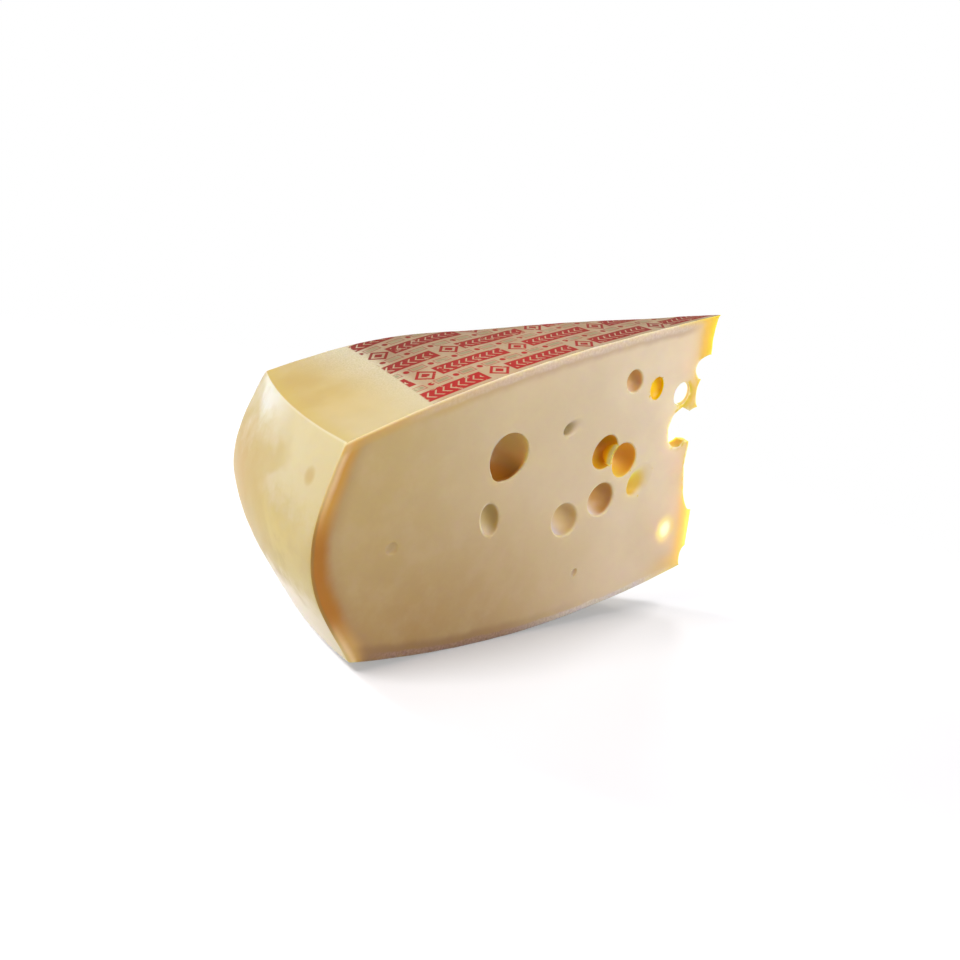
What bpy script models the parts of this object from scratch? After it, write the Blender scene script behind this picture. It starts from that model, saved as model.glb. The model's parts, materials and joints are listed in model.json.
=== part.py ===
"""A wedge cut from a large domed cheese wheel, with round eyes in both cut faces.

The wheel is swollen: its top and its underside are domed and its rim bulges. The wedge
therefore rocks back on the dome of its underside until its weight is over the contact,
so the thin end stands clear of the floor. It is modelled in that resting pose, on the
small flat spot that its weight presses into the rind.

Metres, +Z up. +X runs towards the thin end, -Y is the side of the cut face with the
large eyes, and the origin is under the middle of the bounding box, on the floor.
"""
import math

import bmesh
import bpy
import numpy as np
from mathutils import Matrix, Vector

# The wheel, measured from its axis and from the middle of the rim's height
RIM_RADIUS = 0.380            # to the upper corner of the rim
RIM_HEIGHT = 0.1555           # between the two corners of the rim
RIM_BULGE = 0.0266            # swell of the rim beyond its corners
RIM_BULGE_SKEW = 0.13         # the swell is fuller above the middle
RIM_BULGE_PINCH = -0.295      # and flatter towards the corners
FOOT_SPREAD = 0.0040          # the lower corner stands out this much further
CORNER_ROUNDING = 0.0022      # setback of the rounding at both corners
TOP_DOME = 0.0255             # rise from the rim's corner to the middle of the top
TOP_POWER_NEAR = 2.90         # how late the top falls off, at the cut face with large eyes
TOP_POWER_FAR = 4.27          # and at the other cut face
SHOULDER_HEIGHT = 0.0026      # low hump in the top near the other cut face
SHOULDER_RADIUS = 0.296
SHOULDER_REACH = 0.084
BOTTOM_DOME = 0.0613          # drop from the rim's corner to the middle of the underside
BOTTOM_POWER = 2.37

# The cut
WEDGE_ANGLE = math.radians(23.67)
TIP_TOP_PAST_AXIS = 0.0043    # the two cuts meet just past the axis at the top
TIP_BOTTOM_SHORT = 0.0010     # and just short of it at the underside

# The resting pose
TILT = math.radians(13.7)
FLAT_SPOT_DEPTH = 0.0012

# Mesh steps
STEPS_ALONG = 16
STEPS_ROUND = 10
STEPS_RIM = 12
STEPS_ROUNDING = 2

# Eyes of each cut face: distance from the wheel's axis, height above mid-rim, half length,
# half height, roll in degrees, depth, fullness (0 is a half ball, more is a deeper ball
# behind a narrower mouth), and lean. A lean above 0 is the share by which a grazed pit's
# floor slides along its length; below 0 it is the slant in degrees of a hole that goes
# right through the thin end.
NEAR_EYES = {
    "large": (0.2442, 0.0343, 0.0185, 0.0172, 152, 0.030, 0.42, 0),
    "large_tail": (0.2530, 0.0250, 0.0085, 0.0070, 225, 0.016, 0.20, 0),
    "tall_low": (0.2606, -0.0105, 0.0131, 0.0088, 78, 0.008, -0.25, 0),
    "round_low": (0.1792, -0.0361, 0.0158, 0.0134, 48, 0.0115, -0.20, 0),
    "round_middle": (0.1363, -0.0308, 0.0163, 0.0141, 23, 0.013, -0.10, 0),
    "pair_left": (0.1360, 0.0105, 0.0158, 0.0134, 165, 0.020, 0.20, 0),
    "pair_right": (0.1110, -0.0024, 0.0160, 0.0145, 26, 0.019, 0.05, 0),
    "slanting": (0.0872, -0.0262, 0.0165, 0.0138, -38, 0.0112, 0.00, 0.92),
    "small_high": (0.1079, 0.0646, 0.0104, 0.0092, 31, 0.010, 0.05, 0),
    "deep_high": (0.0777, 0.0529, 0.0091, 0.0085, 102, 0.0060, 0.40, 0),
    "through": (0.0412, 0.0408, 0.0106, 0.0112, 90, 0.030, 0.10, -48),
    "nick_high": (0.1780, 0.0418, 0.0112, 0.0058, -14, 0.0078, 0.00, 0.92),
    "nick_low": (0.1618, -0.0904, 0.0038, 0.0033, 110, 0.0022, 0.00, 0),
    "dimple": (0.3480, -0.0040, 0.0050, 0.0045, 0, 0.0015, -0.50, 0),
}
FAR_EYES = {
    "round_high": (0.2850, 0.0420, 0.0150, 0.0135, 20, 0.017, 0.10, 0),
    "large_low": (0.2250, -0.0420, 0.0180, 0.0165, 140, 0.026, 0.35, 0),
    "middle_high": (0.2050, 0.0560, 0.0120, 0.0105, 60, 0.012, 0.00, 0),
    "double_left": (0.1720, 0.0080, 0.0145, 0.0130, 10, 0.018, 0.20, 0),
    "double_right": (0.1520, -0.0030, 0.0115, 0.0120, 100, 0.015, 0.15, 0),
    "low_left": (0.3100, -0.0350, 0.0110, 0.0095, 75, 0.010, -0.10, 0),
    "low_middle": (0.1300, -0.0800, 0.0130, 0.0115, 35, 0.012, 0.00, 0),
    "high_thin": (0.1150, 0.0420, 0.0095, 0.0090, 0, 0.011, 0.10, 0),
    "behind_slanting": (0.0960, -0.0320, 0.0125, 0.0115, 20, 0.025, 0.25, 0),
    "behind_deep": (0.0756, 0.0529, 0.0110, 0.0105, 0, 0.0225, 0.20, 0),
    "thin_wall": (0.0424, -0.0893, 0.0165, 0.0155, 80, 0.0153, 0.05, 0),
    "small_middle": (0.2550, 0.0020, 0.0060, 0.0055, 0, 0.005, 0.00, 0),
}
PAIR_WALL = 0.0022            # wall left between the two eyes of the pair
THROUGH_DROP = 0.35           # fall of a hole right through, per metre inward

# Crumbled places along the thin edge: distance from the axis, height, half length and
# half height. Each goes through from face to face.
TIP_BITES = {
    "top": (-0.0050, 0.0820, 0.0100, 0.0240),
    "upper": (0.0080, 0.0590, 0.0160, 0.0108),
    "between": (0.0000, 0.0370, 0.0190, 0.0200),
    "deep": (0.0370, 0.0095, 0.0170, 0.0190),
    "deep_mouth": (0.0180, 0.0085, 0.0240, 0.0155),
    "long": (0.0000, -0.0250, 0.0210, 0.0560),
    "foot": (0.0010, -0.1300, 0.0070, 0.0110),
}
BITE_HALF_DEPTH = 0.030


def material(name, color, roughness):
    """Plain Principled material."""
    mat = bpy.data.materials.new(name)
    mat.use_nodes = True
    shader = mat.node_tree.nodes["Principled BSDF"]
    shader.inputs["Base Color"].default_value = (*color, 1)
    shader.inputs["Roughness"].default_value = roughness
    shader.inputs["Metallic"].default_value = 0
    return mat


def top_height(radius, share):
    """Height of the domed top; share runs from 0 at the near cut to 1 at the far cut."""
    power = TOP_POWER_NEAR + (TOP_POWER_FAR - TOP_POWER_NEAR) * share
    dome = TOP_DOME * (1 - (radius / RIM_RADIUS) ** power)
    away = min(abs(radius - SHOULDER_RADIUS) / SHOULDER_REACH, 1)
    return RIM_HEIGHT / 2 + dome + SHOULDER_HEIGHT * share * (1 - away ** 2) ** 2


def bottom_height(radius):
    """Height of the domed underside."""
    share = radius / (RIM_RADIUS + FOOT_SPREAD)
    return -RIM_HEIGHT / 2 - BOTTOM_DOME * (1 - share ** BOTTOM_POWER)


def rim_radius(height):
    """Radius of the bulging rim at a height between its two corners."""
    s = 2 * height / RIM_HEIGHT
    swell = (1 - s ** 2) * (1 + RIM_BULGE_SKEW * s + RIM_BULGE_PINCH * s ** 2)
    return RIM_RADIUS + FOOT_SPREAD * (1 - s) / 2 + RIM_BULGE * swell


def rounding(before, corner, after):
    """Points of a curve that rounds a corner between two points on its sides."""
    points = []
    for i in range(STEPS_ROUNDING + 1):
        t = i / STEPS_ROUNDING
        points.append((1 - t) ** 2 * before + 2 * t * (1 - t) * corner + t ** 2 * after)
    return points


def spot(radius, share, tip_offset, height):
    """Point of a ray from the tip to the rim. The ray starts tip_offset past the axis."""
    half = WEDGE_ANGLE / 2
    turn = WEDGE_ANGLE * (share - 0.5)
    rim = Vector((-math.cos(turn), math.sin(turn), 0))
    tip = Vector((math.cos(half), math.sin(half), 0)) * tip_offset
    along = radius / RIM_RADIUS
    place = tip * (1 - along) + rim * radius
    place.z = height(place.to_2d().length)
    return place


def section(share):
    """Outline of the wedge on one ray: underside outwards, up the rim, top inwards."""
    steps = [(i / STEPS_ALONG) ** 0.9 for i in range(STEPS_ALONG + 1)]
    low_rim = RIM_RADIUS + FOOT_SPREAD
    low_end = low_rim - CORNER_ROUNDING
    top_end = RIM_RADIUS - CORNER_ROUNDING
    low = [spot(s * low_end, share, -TIP_BOTTOM_SHORT, bottom_height) for s in steps]
    top = [spot(s * top_end, share, TIP_TOP_PAST_AXIS, lambda r: top_height(r, share)) for s in steps]

    def rim(height):
        return spot(rim_radius(height), share, 0, lambda r: height)

    edge = RIM_HEIGHT / 2
    inner = edge - CORNER_ROUNDING
    side = [rim(-inner + 2 * inner * i / STEPS_RIM) for i in range(1, STEPS_RIM)]
    low_corner = rounding(low[-1], rim(-edge), rim(-inner))
    top_corner = rounding(rim(inner), rim(edge), top[-1])
    return low[:-1] + low_corner + side + top_corner + top[-2::-1]


def add_block(name, skin, paste):
    """The uncut block: rind all round, and a cut face at each end of the sweep."""
    bm = bmesh.new()
    rows = []
    ends = len(section(0)) - 1
    tips = None
    for j in range(STEPS_ROUND + 1):
        points = section(j / STEPS_ROUND)
        if tips is None:
            tips = bm.verts.new(points[0]), bm.verts.new(points[-1])
        inner = [bm.verts.new(point) for point in points[1:-1]]
        rows.append([tips[0], *inner, tips[1]])
    for left, right in zip(rows, rows[1:]):
        for i in range(ends):
            corners = [left[i], left[i + 1], right[i + 1], right[i]]
            bm.faces.new(dict.fromkeys(corners)).material_index = 0
    for row in (rows[0], rows[-1]):
        add_cut_face(bm, row)
    bmesh.ops.recalc_face_normals(bm, faces=bm.faces)
    mesh = bpy.data.meshes.new(name)
    bm.to_mesh(mesh)
    bm.free()
    obj = bpy.data.objects.new(name, mesh)
    bpy.context.collection.objects.link(obj)
    obj.data.materials.append(skin)
    obj.data.materials.append(paste)
    return obj


def add_cut_face(bm, row):
    """Strips between the underside and the top, then a strip that follows the rim."""
    count = len(row)
    for i in range(count // 2):
        corners = [row[i], row[i + 1], row[count - 2 - i], row[count - 1 - i]]
        corners = list(dict.fromkeys(corners))
        if len(corners) > 2:
            bm.faces.new(corners).material_index = 1


def face_frame(side):
    """Directions of a cut face: towards the rim, up, and into the cheese."""
    half = WEDGE_ANGLE / 2
    along = Vector((-math.cos(half), side * math.sin(half), 0))
    inward = Vector((-math.sin(half), -side * math.cos(half), 0))
    return along, Vector((0, 0, 1)), inward


def cutter(name, bm, collection):
    """Makes a hidden cutter of a closed mesh."""
    bmesh.ops.recalc_face_normals(bm, faces=bm.faces)
    mesh = bpy.data.meshes.new(name)
    bm.to_mesh(mesh)
    bm.free()
    obj = bpy.data.objects.new(name, mesh)
    obj.hide_render = True
    obj.display_type = "WIRE"
    collection.objects.link(obj)
    return obj


def ball(place, axes, sizes):
    """Ellipsoid: each axis is scaled by its size. The axes may be skewed."""
    rings = 6 if max(sizes[:2]) < 0.009 else 10
    bm = bmesh.new()
    bmesh.ops.create_uvsphere(bm, u_segments=2 * rings, v_segments=rings, radius=1)
    shape = Matrix([axis * size for axis, size in zip(axes, sizes)]).transposed().to_4x4()
    bmesh.ops.transform(bm, matrix=Matrix.Translation(place) @ shape, verts=bm.verts)
    return bm


def bowl(place, axes, half_long, half_high, depth, fullness, slide):
    """Eye open at the cut face: rings from just outside the face down to its floor."""
    rings = 3 if half_long < 0.009 else 5 if half_long < 0.017 else 6
    sectors = 3 * rings + 3
    long_axis, high_axis, inward = axes
    semi = depth / (1 + fullness)
    start = -math.asin(fullness)
    bm = bmesh.new()
    loops = []
    for k in range(-1, rings):
        if slide:
            deep = depth * (max(k, 0) / rings) ** 1.4
            spread = 1 - (deep / depth) ** 0.75
        else:
            swing = start + (math.pi / 2 - start) * max(k, 0) / rings
            deep = semi * (fullness + math.sin(swing))
            spread = math.cos(swing) / math.sqrt(1 - fullness ** 2)
        deep = deep if k >= 0 else -0.0015
        loop = []
        for i in range(sectors):
            turn = 2 * math.pi * i / sectors
            long_part = half_long * (spread * math.cos(turn) + slide * (1 - spread))
            high_part = half_high * spread * math.sin(turn)
            loop.append(bm.verts.new(place + long_axis * long_part + high_axis * high_part + inward * deep))
        loops.append(loop)
    floor = bm.verts.new(place + long_axis * slide * half_long + inward * depth)
    for above, below in zip(loops, loops[1:]):
        for i in range(sectors):
            j = (i + 1) % sectors
            bm.faces.new((above[i], above[j], below[j], below[i]))
    for i in range(sectors):
        bm.faces.new((loops[-1][i], loops[-1][(i + 1) % sectors], floor))
    bm.faces.new(loops[0])
    return bm


def add_eyes(eyes, side, collection):
    """Cutters for the eyes of one cut face, by name."""
    along, up, inward = face_frame(side)
    cutters = {}
    for name, (reach, height, half_long, half_high, roll, depth, fullness, lean) in eyes.items():
        turn = math.radians(roll)
        long_axis = along * math.cos(turn) + up * math.sin(turn)
        high_axis = -along * math.sin(turn) + up * math.cos(turn)
        place = along * reach + up * height
        if lean < 0:
            deep_axis = inward + along * math.tan(math.radians(lean)) - up * THROUGH_DROP
            bm = ball(place, (long_axis, high_axis, deep_axis), (half_long, half_high, depth))
        else:
            axes = (long_axis, high_axis, inward)
            bm = bowl(place, axes, half_long, half_high, depth, fullness, lean)
        label = f"eye_{'near' if side < 0 else 'far'}_{name}"
        cutters[name] = cutter(label, bm, collection)
    return cutters


def keep_wall(pair_left, values):
    """Takes the right eye of the pair and its wall out of the left eye's cutter."""
    reach, height, half_long, half_high, roll, depth, fullness, _ = values
    along, up, inward = face_frame(-1)
    turn = math.radians(roll)
    swell = math.sqrt(1 - fullness ** 2)
    semi = depth / (1 + fullness)
    axes = (along * math.cos(turn) + up * math.sin(turn), -along * math.sin(turn) + up * math.cos(turn), inward)
    place = along * reach + up * height + inward * fullness * semi
    sizes = (half_long / swell + PAIR_WALL, half_high / swell + PAIR_WALL, semi + PAIR_WALL)
    wall = cutter("pair_wall", ball(place, axes, sizes), bpy.context.scene.collection)
    subtract(pair_left, "OBJECT", wall)
    bpy.data.objects.remove(wall)


def add_bites(collection):
    """Cutters for the crumbled thin edge; they run across both cut faces."""
    for name, (reach, height, half_long, half_high) in TIP_BITES.items():
        place = Vector((-reach, 0, height))
        axes = (Vector((-1, 0, 0)), Vector((0, 0, 1)), Vector((0, 1, 0)))
        bm = ball(place, axes, (half_long, half_high, BITE_HALF_DEPTH))
        cutter(f"bite_{name}", bm, collection)


def subtract(obj, operand_type, operand):
    """Subtracts an object or a collection and applies the result."""
    modifier = obj.modifiers.new("subtract", "BOOLEAN")
    modifier.operation = "DIFFERENCE"
    modifier.operand_type = operand_type
    if operand_type == "OBJECT":
        modifier.object = operand
    else:
        modifier.collection = operand
    modifier.solver = "EXACT"
    depsgraph = bpy.context.evaluated_depsgraph_get()
    result = bpy.data.meshes.new_from_object(obj.evaluated_get(depsgraph))
    obj.modifiers.clear()
    obj.data = result


def rest_on_floor(obj):
    """Tilts the wedge back on its dome, presses the flat spot and centres it."""
    bm = bmesh.new()
    bm.from_mesh(obj.data)
    bmesh.ops.rotate(bm, matrix=Matrix.Rotation(-TILT, 3, "Y"), verts=bm.verts)
    lowest = min(vert.co.z for vert in bm.verts)
    bmesh.ops.translate(bm, vec=(0, 0, -lowest - FLAT_SPOT_DEPTH), verts=bm.verts)
    geometry = bm.verts[:] + bm.edges[:] + bm.faces[:]
    sliced = bmesh.ops.bisect_plane(
        bm, geom=geometry, plane_co=(0, 0, 0), plane_no=(0, 0, 1), clear_inner=True)
    rim_edges = [item for item in sliced["geom_cut"] if isinstance(item, bmesh.types.BMEdge)]
    bmesh.ops.contextual_create(bm, geom=rim_edges)
    bmesh.ops.triangulate(bm, faces=bm.faces)
    corners = np.array([vert.co for vert in bm.verts])
    middle = (corners.min(axis=0) + corners.max(axis=0)) / 2
    bmesh.ops.translate(bm, vec=(-middle[0], -middle[1], 0), verts=bm.verts)
    bmesh.ops.recalc_face_normals(bm, faces=bm.faces)
    bm.to_mesh(obj.data)
    bm.free()


def main():
    for obj in list(bpy.data.objects):
        bpy.data.objects.remove(obj)
    rind = material("rind", (0.62, 0.45, 0.22), 0.42)
    paste = material("paste", (0.66, 0.50, 0.28), 0.48)
    wedge = add_block("cheese_wedge", rind, paste)
    cutters = bpy.data.collections.new("cutters")
    bpy.context.scene.collection.children.link(cutters)
    near = add_eyes(NEAR_EYES, -1, cutters)
    add_eyes(FAR_EYES, 1, cutters)
    keep_wall(near["pair_left"], NEAR_EYES["pair_right"])
    add_bites(cutters)
    subtract(wedge, "COLLECTION", cutters)
    for item in list(cutters.objects):
        bpy.data.objects.remove(item)
    bpy.data.collections.remove(cutters)
    rest_on_floor(wedge)
    wedge.data.shade_smooth()
    wedge.data.set_sharp_from_angle(angle=math.radians(30))


main()
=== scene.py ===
"""Looks of a wedge of hard cheese with round eyes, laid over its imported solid.

The wedge is built again in the wheel's own frame, finely enough for its rind, lips and
eyes, then tilted back on its domed underside as the solid is. Metres, +Z up.
"""
import json
import math

import bmesh
import bpy
import numpy as np
from mathutils import Matrix, Vector, noise
from mathutils.bvhtree import BVHTree
from mathutils.geometry import delaunay_2d_cdt

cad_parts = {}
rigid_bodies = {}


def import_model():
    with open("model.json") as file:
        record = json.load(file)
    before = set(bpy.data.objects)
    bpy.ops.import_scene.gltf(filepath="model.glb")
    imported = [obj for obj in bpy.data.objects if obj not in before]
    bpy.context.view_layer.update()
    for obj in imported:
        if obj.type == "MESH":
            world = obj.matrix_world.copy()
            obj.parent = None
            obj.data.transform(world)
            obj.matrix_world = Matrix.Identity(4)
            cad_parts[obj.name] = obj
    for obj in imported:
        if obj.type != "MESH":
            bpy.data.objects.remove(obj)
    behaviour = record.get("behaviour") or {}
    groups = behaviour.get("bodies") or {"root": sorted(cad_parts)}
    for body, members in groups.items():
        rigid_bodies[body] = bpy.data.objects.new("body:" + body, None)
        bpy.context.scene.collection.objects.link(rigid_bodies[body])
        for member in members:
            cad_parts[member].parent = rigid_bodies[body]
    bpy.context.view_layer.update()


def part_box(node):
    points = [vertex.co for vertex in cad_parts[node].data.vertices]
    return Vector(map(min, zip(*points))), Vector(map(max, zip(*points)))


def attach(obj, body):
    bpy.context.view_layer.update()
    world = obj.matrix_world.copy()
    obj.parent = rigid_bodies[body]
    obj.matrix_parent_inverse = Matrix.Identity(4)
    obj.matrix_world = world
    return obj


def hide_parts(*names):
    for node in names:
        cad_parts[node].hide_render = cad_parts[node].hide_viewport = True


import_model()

# The wheel, measured from its axis and from the middle of the rim's height
RIM_RADIUS = 0.380
RIM_HEIGHT = 0.1555
RIM_BULGE = 0.0266
RIM_BULGE_SKEW = 0.13
RIM_BULGE_PINCH = -0.295
FOOT_SPREAD = 0.0040
CORNER_ROUNDING = 0.0022
TOP_DOME = 0.0255
TOP_POWER_NEAR = 2.90
TOP_POWER_FAR = 4.27
SHOULDER_HEIGHT = 0.0026
SHOULDER_RADIUS = 0.296
SHOULDER_REACH = 0.084
BOTTOM_DOME = 0.0613
BOTTOM_POWER = 2.37
LOW_RADIUS = RIM_RADIUS + FOOT_SPREAD

# The cut and the resting pose
WEDGE_ANGLE = math.radians(23.67)
HALF_ANGLE = WEDGE_ANGLE / 2
TIP_TOP_PAST_AXIS = 0.0043
TIP_BOTTOM_SHORT = 0.0010
TILT = math.radians(13.7)
FLAT_SPOT_DEPTH = 0.0012

# Steps of the fine mesh
STEPS_ALONG = 110
STEPS_ROUND = 48
STEPS_RIM = 48
STEPS_ROUNDING = 5
FACE_STEP = 0.0038
EYE_RINGS = 22
EDGE_BEVEL = 0.0007
TIP_CLEARANCE = 0.006         # no inner points of a cut face this close to the axis

# Unevenness: height of the push, and how quickly it changes, per metre
RIND_SWELL = (0.0006, 16)
RIND_RIPPLE = (0.00022, 60)
BITE_ROUGHNESS = (0.0012, 110)

# Eyes of each cut face: distance from the wheel's axis, height above mid-rim, half length,
# half height, roll in degrees, depth, fullness, and lean. A lean above 0 is the share by
# which a grazed pit's floor slides along its length; below 0 it is a slant in degrees.
NEAR_EYES = {
    "large": (0.2442, 0.0343, 0.0185, 0.0172, 152, 0.030, 0.42, 0),
    "large_tail": (0.2530, 0.0250, 0.0085, 0.0070, 225, 0.016, 0.20, 0),
    "tall_low": (0.2606, -0.0105, 0.0131, 0.0088, 78, 0.008, -0.25, 0),
    "round_low": (0.1792, -0.0361, 0.0158, 0.0134, 48, 0.0115, -0.20, 0),
    "round_middle": (0.1363, -0.0308, 0.0163, 0.0141, 23, 0.013, -0.10, 0),
    "pair_left": (0.1360, 0.0105, 0.0158, 0.0134, 165, 0.020, 0.20, 0),
    "pair_right": (0.1110, -0.0024, 0.0160, 0.0145, 26, 0.019, 0.05, 0),
    "slanting": (0.0872, -0.0262, 0.0165, 0.0138, -38, 0.0112, 0.00, 0.92),
    "small_high": (0.1079, 0.0646, 0.0104, 0.0092, 31, 0.010, 0.05, 0),
    "deep_high": (0.0777, 0.0529, 0.0091, 0.0085, 102, 0.0060, 0.40, 0),
    "through": (0.0412, 0.0408, 0.0106, 0.0112, 90, 0.030, 0.10, -48),
    "nick_high": (0.1780, 0.0418, 0.0112, 0.0058, -14, 0.0078, 0.00, 0.92),
    "nick_low": (0.1618, -0.0904, 0.0038, 0.0033, 110, 0.0022, 0.00, 0),
    "dimple": (0.3480, -0.0040, 0.0050, 0.0045, 0, 0.0015, -0.50, 0),
}
FAR_EYES = {
    "round_high": (0.2850, 0.0420, 0.0150, 0.0135, 20, 0.017, 0.10, 0),
    "large_low": (0.2250, -0.0420, 0.0180, 0.0165, 140, 0.026, 0.35, 0),
    "middle_high": (0.2050, 0.0560, 0.0120, 0.0105, 60, 0.012, 0.00, 0),
    "double_left": (0.1720, 0.0080, 0.0145, 0.0130, 10, 0.018, 0.20, 0),
    "double_right": (0.1520, -0.0030, 0.0115, 0.0120, 100, 0.015, 0.15, 0),
    "low_left": (0.3100, -0.0350, 0.0110, 0.0095, 75, 0.010, -0.10, 0),
    "low_middle": (0.1300, -0.0800, 0.0130, 0.0115, 35, 0.012, 0.00, 0),
    "high_thin": (0.1150, 0.0420, 0.0095, 0.0090, 0, 0.011, 0.10, 0),
    "behind_slanting": (0.0960, -0.0320, 0.0125, 0.0115, 20, 0.025, 0.25, 0),
    "behind_deep": (0.0756, 0.0529, 0.0110, 0.0105, 0, 0.0225, 0.20, 0),
    "thin_wall": (0.0424, -0.0893, 0.0165, 0.0155, 80, 0.0153, 0.05, 0),
    "small_middle": (0.2550, 0.0020, 0.0060, 0.0055, 0, 0.005, 0.00, 0),
}
# Crumbled places along the thin edge: distance from the axis, height, half length, half height
TIP_BITES = {
    "top": (-0.0050, 0.0820, 0.0100, 0.0240),
    "upper": (0.0080, 0.0590, 0.0160, 0.0108),
    "between": (0.0000, 0.0370, 0.0190, 0.0200),
    "deep": (0.0370, 0.0095, 0.0170, 0.0190),
    "deep_mouth": (0.0180, 0.0085, 0.0240, 0.0155),
    "long": (0.0000, -0.0250, 0.0210, 0.0560),
    "foot": (0.0010, -0.1300, 0.0070, 0.0110),
}
BITE_HALF_DEPTH = 0.030
SEPTUM = 0.0022               # wall left between the two eyes of the pair
THROUGH_DROP = 0.35           # fall of a hole right through, per metre inward


def linear(red, green, blue):
    """Linear colour from display values of 0 to 255."""
    def one(value):
        value /= 255
        return value / 12.92 if value <= 0.04045 else ((value + 0.055) / 1.055) ** 2.4
    return one(red), one(green), one(blue)


# How strongly the painted highlight on the lip of an eye shows, and how wide it is
LIP_HIGHLIGHTS = {
    "large": 0.70, "tall_low": 0.75, "round_low": 0.65, "round_middle": 0.60,
    "small_high": 0.45, "pair_left": 0.40,
}
LIP_WIDTH = 0.0020

# Painted shade, and painted glow of light through the paste, inside the eyes: colour, colour of the other
# side (its painted lit or shaded side), its direction in degrees (0 towards
#  the rim, 90 up), strength, and the depth at which it is full. Colours are display values.
EYE_SHADE_AND_GLOW = {
    "large": ((255, 226, 156), (166, 104, 4), -72, 0.95, 0.0012),
    "large_tail": ((180, 128, 30), (164, 108, 12), -125, 0.95, 0.0012),
    "tall_low": ((198, 170, 98), (238, 220, 194), -35, 0.80, 0.0020),
    "round_low": ((226, 194, 130), (226, 218, 236), -20, 0.75, 0.0030),
    "round_middle": ((206, 153, 76), (248, 238, 222), -20, 0.90, 0.0030),
    "pair_left": ((221, 172, 42), (227, 176, 42), -50, 1.00, 0.0010),
    "pair_right": ((238, 186, 80), (252, 216, 90), -50, 1.00, 0.0010),
    "slanting": ((238, 204, 84), (246, 240, 30), 50, 1.00, 0.0040),
    "small_high": ((222, 170, 86), (244, 222, 188), -30, 0.75, 0.0030),
    "deep_high": ((255, 210, 0), (255, 210, 0), 0, 1.00, 0.0006),
    "through": ((250, 232, 120), (250, 232, 120), 0, 0.80, 0.0030),
    "nick_high": ((164, 138, 80), (226, 204, 160), 180, 0.80, 0.0030),
    "nick_low": ((200, 176, 138), (200, 176, 138), 0, 0.40, 0.0020),
    "dimple": ((196, 170, 124), (214, 190, 146), 180, 0.30, 0.0010),
    "other": ((206, 160, 92), (214, 176, 120), -50, 0.75, 0.0040),
}
THIN_REACH = 0.165            # only this close to the axis can light come through
THIN_FADE = 0.0068            # thickness of paste that dims the light to a third
THIN_RAYS = 8
THIN_FARTHEST = 0.08
CRUMBLE_REACH = 0.060         # only this close to the axis is the thin edge crumbled
CRUMBLE_LIGHT = 0.45

# The stamped pattern of the top
ROW_PITCH = 0.027
REPEAT = 0.086
PRINT_START = 0.316
PRINT_SLANT = 0.17            # how the print's start leans, per metre across
# The shapes of the pattern, in millimetres
BAR_SPAN = (3, 66)
BAR_HALF_HEIGHT = 6.9
CHEVRON_PITCH = 6.5
CHEVRON_STROKE = 1.5
CHEVRON_LEAN = 0.9
CHEVRON_SPAN = (6, 63)
CHEVRON_HALF_HEIGHT = 4.4
LOZENGE_CENTRE = 76
LOZENGE_RINGS = (9.4, 6.4, 3.8)
DASH_PITCH = 21.5
DOT_PLACE = 17.5

# The photo's camera
CAMERA_PLACE = (-0.4060, -0.5163, 0.3020)
CAMERA_AIM = (-0.0785, -0.0558, 0.1324)
CAMERA_ROLL = math.radians(14.456)
CAMERA_SENSOR = 36            # millimetres, square
CAMERA_LENS = 31.97

# The floor, which turns clear between two distances from its middle
FLOOR_RADIUS = 2.2
FLOOR_FADE = (0.35, 0.95)


def top_height(radius, share):
    """Height of the domed top; share runs from 0 at the near cut to 1 at the far cut."""
    power = TOP_POWER_NEAR + (TOP_POWER_FAR - TOP_POWER_NEAR) * share
    dome = TOP_DOME * (1 - (radius / RIM_RADIUS) ** power)
    away = np.minimum(np.abs(radius - SHOULDER_RADIUS) / SHOULDER_REACH, 1)
    return RIM_HEIGHT / 2 + dome + SHOULDER_HEIGHT * share * (1 - away ** 2) ** 2


def bottom_height(radius):
    """Height of the domed underside."""
    return -RIM_HEIGHT / 2 - BOTTOM_DOME * (1 - (radius / LOW_RADIUS) ** BOTTOM_POWER)


def rim_radius(height):
    """Radius of the bulging rim at a height between its two corners."""
    s = np.clip(2 * height / RIM_HEIGHT, -1, 1)
    swell = (1 - s ** 2) * (1 + RIM_BULGE_SKEW * s + RIM_BULGE_PINCH * s ** 2)
    return RIM_RADIUS + FOOT_SPREAD * (1 - s) / 2 + RIM_BULGE * swell


def face_frame(side):
    """Directions of a cut face: towards the rim, up, and into the cheese."""
    along = np.array((-math.cos(HALF_ANGLE), side * math.sin(HALF_ANGLE), 0))
    inward = np.array((-math.sin(HALF_ANGLE), -side * math.cos(HALF_ANGLE), 0))
    return along, np.array((0.0, 0.0, 1.0)), inward


def ray_points(radii, share, tip_offset, heights):
    """Points of a ray from the tip to the rim, in plan, with the given heights."""
    turn = WEDGE_ANGLE * (share - 0.5)
    rim = np.array((-math.cos(turn), math.sin(turn)))
    tip = np.array((math.cos(HALF_ANGLE), math.sin(HALF_ANGLE))) * tip_offset
    along = (radii / RIM_RADIUS)[:, None]
    plan = tip * (1 - along) + rim * radii[:, None]
    return np.column_stack([plan, heights(np.hypot(*plan.T))])


def turned(a, b, roll):
    """Parts of a and b along two axes that are rolled by an angle in degrees."""
    turn = math.radians(roll)
    return a * math.cos(turn) + b * math.sin(turn), b * math.cos(turn) - a * math.sin(turn)


def ball_form(eye):
    """Widening of an eye's ball against its mouth, and half its depth."""
    depth, fullness = eye[5:7]
    return math.sqrt(1 - fullness ** 2), depth / (1 + fullness)


def rounding(before, corner, after):
    """Curve that rounds a corner between two points on its sides, without its ends."""
    t = (np.arange(1, STEPS_ROUNDING) / STEPS_ROUNDING)[:, None]
    return (1 - t) ** 2 * before + 2 * t * (1 - t) * corner + t ** 2 * after


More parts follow.
